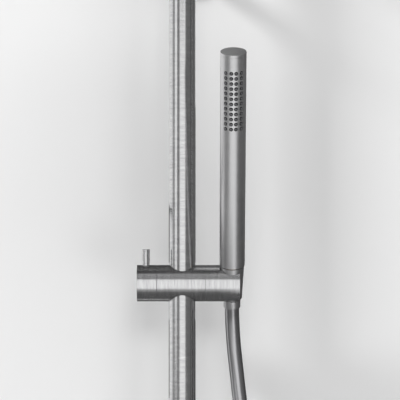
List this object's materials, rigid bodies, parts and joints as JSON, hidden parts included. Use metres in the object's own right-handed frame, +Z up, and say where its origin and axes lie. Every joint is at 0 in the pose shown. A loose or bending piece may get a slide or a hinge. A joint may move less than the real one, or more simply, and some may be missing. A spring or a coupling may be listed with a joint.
{
  "type": "rainfall shower column",
  "caption": "Wall-mounted shower column: thermostatic bar mixer, riser tube, swivelling overhead rain head, and a slim baton handset on a sliding, tilting holder with a flexible hose.",
  "frame": {"origin": "middle of the upper wall bracket's plate, on its back face against the wall", "axes": "+X to the right of someone facing the wall, +Y into the wall, +Z up along the riser"},
  "size_m": [0.296, 0.6238, 1.5188],
  "materials": {
    "brushed_steel": "fine brushed stainless steel, satin",
    "screw_steel": "plain stainless steel, turned",
    "hose_sleeve": "smooth metallic sleeve over a flexible hose",
    "brass": "machined brass, bare",
    "acetal": "natural acetal, bearing surface",
    "dark_plastic": "moulded engineering plastic",
    "silicone": "soft grey silicone",
    "rubber": "black sealing rubber"
  },
  "bodies": {
    "column": {"bracket_wall_plate": "screw_steel", "bracket_screw_upper": "screw_steel", "bracket_screw_lower": "screw_steel", "bracket_flange": "brushed_steel", "bracket_post": "brushed_steel", "bracket_grub_screw": "screw_steel", "bracket_clamp": "brushed_steel", "bracket_clamp_screw": "screw_steel", "riser_tube": "brushed_steel", "riser_top_nut": "brushed_steel", "arm_seal": "rubber", "mixer_body": "brushed_steel", "riser_union_nut": "brushed_steel", "riser_union_washer": "rubber", "union_washer_left": "rubber", "union_washer_right": "rubber", "union_nut_left": "brushed_steel", "union_nut_right": "brushed_steel", "eccentric_union_left": "brass", "eccentric_union_right": "brass", "inlet_rose_left": "brushed_steel", "inlet_rose_right": "brushed_steel", "thermostat_cartridge": "dark_plastic", "flow_cartridge": "dark_plastic", "temp_stop_ring": "brushed_steel", "hose_outlet_nipple": "brushed_steel", "hose_washer_lower": "rubber", "hose_nut_lower": "brushed_steel", "hose_ferrule_lower": "brushed_steel", "shower_hose": "hose_sleeve"},
    "overhead_arm": {"shower_arm": "brushed_steel", "arm_swivel_collar": "brushed_steel", "arm_ball": "brushed_steel"},
    "head_seat": {"head_ball_seat": "acetal"},
    "rain_head": {"head_collar_nut": "brushed_steel", "rain_head_body": "brushed_steel", "rain_nozzle_mat": "silicone", "rain_faceplate": "brushed_steel"},
    "temperature_handle": {"temp_handle": "brushed_steel", "temp_handle_pin": "brushed_steel"},
    "temperature_button": {"temp_stop_button": "dark_plastic"},
    "flow_handle": {"flow_handle": "brushed_steel", "flow_handle_pin": "brushed_steel"},
    "slider_sleeve": {"slider_liner": "acetal"},
    "slider": {"slider_body": "brushed_steel", "holder_washer": "dark_plastic", "holder_pivot_screw": "screw_steel"},
    "slider_knob": {"slider_knob": "brushed_steel", "slider_knob_pin": "brushed_steel", "clamp_spindle": "screw_steel"},
    "clamp_shoe": {"clamp_shoe": "acetal"},
    "holder": {"handset_holder": "brushed_steel"},
    "hose_end": {"hose_ferrule_upper": "brushed_steel"},
    "handset": {"handset_tube": "brushed_steel", "handset_end_cap": "brushed_steel", "handset_spray_strip": "silicone", "handset_inlet": "brass", "hose_washer_upper": "rubber", "hose_nut_upper": "brushed_steel"}
  },
  "joints": [
    {"name": "slider_travel", "type": "slide", "parent": "column", "child": "slider_sleeve", "axis": [0, 0, -1], "range_m": [-0.25, 0.58], "deforming": ["shower_hose"]},
    {"name": "slider_swivel", "type": "hinge", "parent": "slider_sleeve", "child": "slider", "pos_m": [0, -0.065, -0.31], "axis": [0, 0, 1], "range_deg": [-75, 45]},
    {"name": "slider_knob_turn", "type": "hinge", "parent": "slider", "child": "slider_knob", "pos_m": [0, -0.065, -0.31], "axis": [-1, 0, 0], "range_deg": [0, 120]},
    {"name": "clamp_shoe_release", "type": "slide", "parent": "slider", "child": "clamp_shoe", "axis": [-1, 0, 0], "range_m": [0, 0.00042]},
    {"name": "holder_tilt", "type": "hinge", "parent": "slider", "child": "holder", "pos_m": [0, -0.065, -0.31], "axis": [1, 0, 0], "range_deg": [-25, 35]},
    {"name": "handset_lift", "type": "slide", "parent": "holder", "child": "hose_end", "axis": [0, -0.4226, 0.9063], "range_m": [0, 0.06]},
    {"name": "handset_spin", "type": "hinge", "parent": "hose_end", "child": "handset", "pos_m": [0.0465, -0.065, -0.31], "axis": [0, -0.4226, 0.9063], "continuous": true},
    {"name": "arm_swivel", "type": "hinge", "parent": "column", "child": "overhead_arm", "pos_m": [0, -0.065, 0.04], "axis": [0, 0, 1], "range_deg": [-60, 60]},
    {"name": "head_tilt_side", "type": "hinge", "parent": "overhead_arm", "child": "head_seat", "pos_m": [0, -0.465, 0.0434], "axis": [1, 0, 0], "range_deg": [-12, 12]},
    {"name": "head_tilt_front", "type": "hinge", "parent": "head_seat", "child": "rain_head", "pos_m": [0, -0.465, 0.0434], "axis": [0, 1, 0], "range_deg": [-12, 12]},
    {"name": "temperature_turn", "type": "hinge", "parent": "column", "child": "temperature_handle", "pos_m": [0, -0.065, -1.05], "axis": [1, 0, 0], "range_deg": [-120, 60]},
    {"name": "temperature_button_press", "type": "slide", "parent": "temperature_handle", "child": "temperature_button", "axis": [0, 1, 0], "range_m": [0, 0.0025], "stiffness_N_per_m": 800},
    {"name": "flow_turn", "type": "hinge", "parent": "column", "child": "flow_handle", "pos_m": [0, -0.065, -1.05], "axis": [1, 0, 0], "range_deg": [-90, 90]}
  ],
  "couplings": [
    {"joint": "clamp_shoe_release", "follows": "slider_knob_turn", "m_per_rad": 0.00019099}
  ]
}
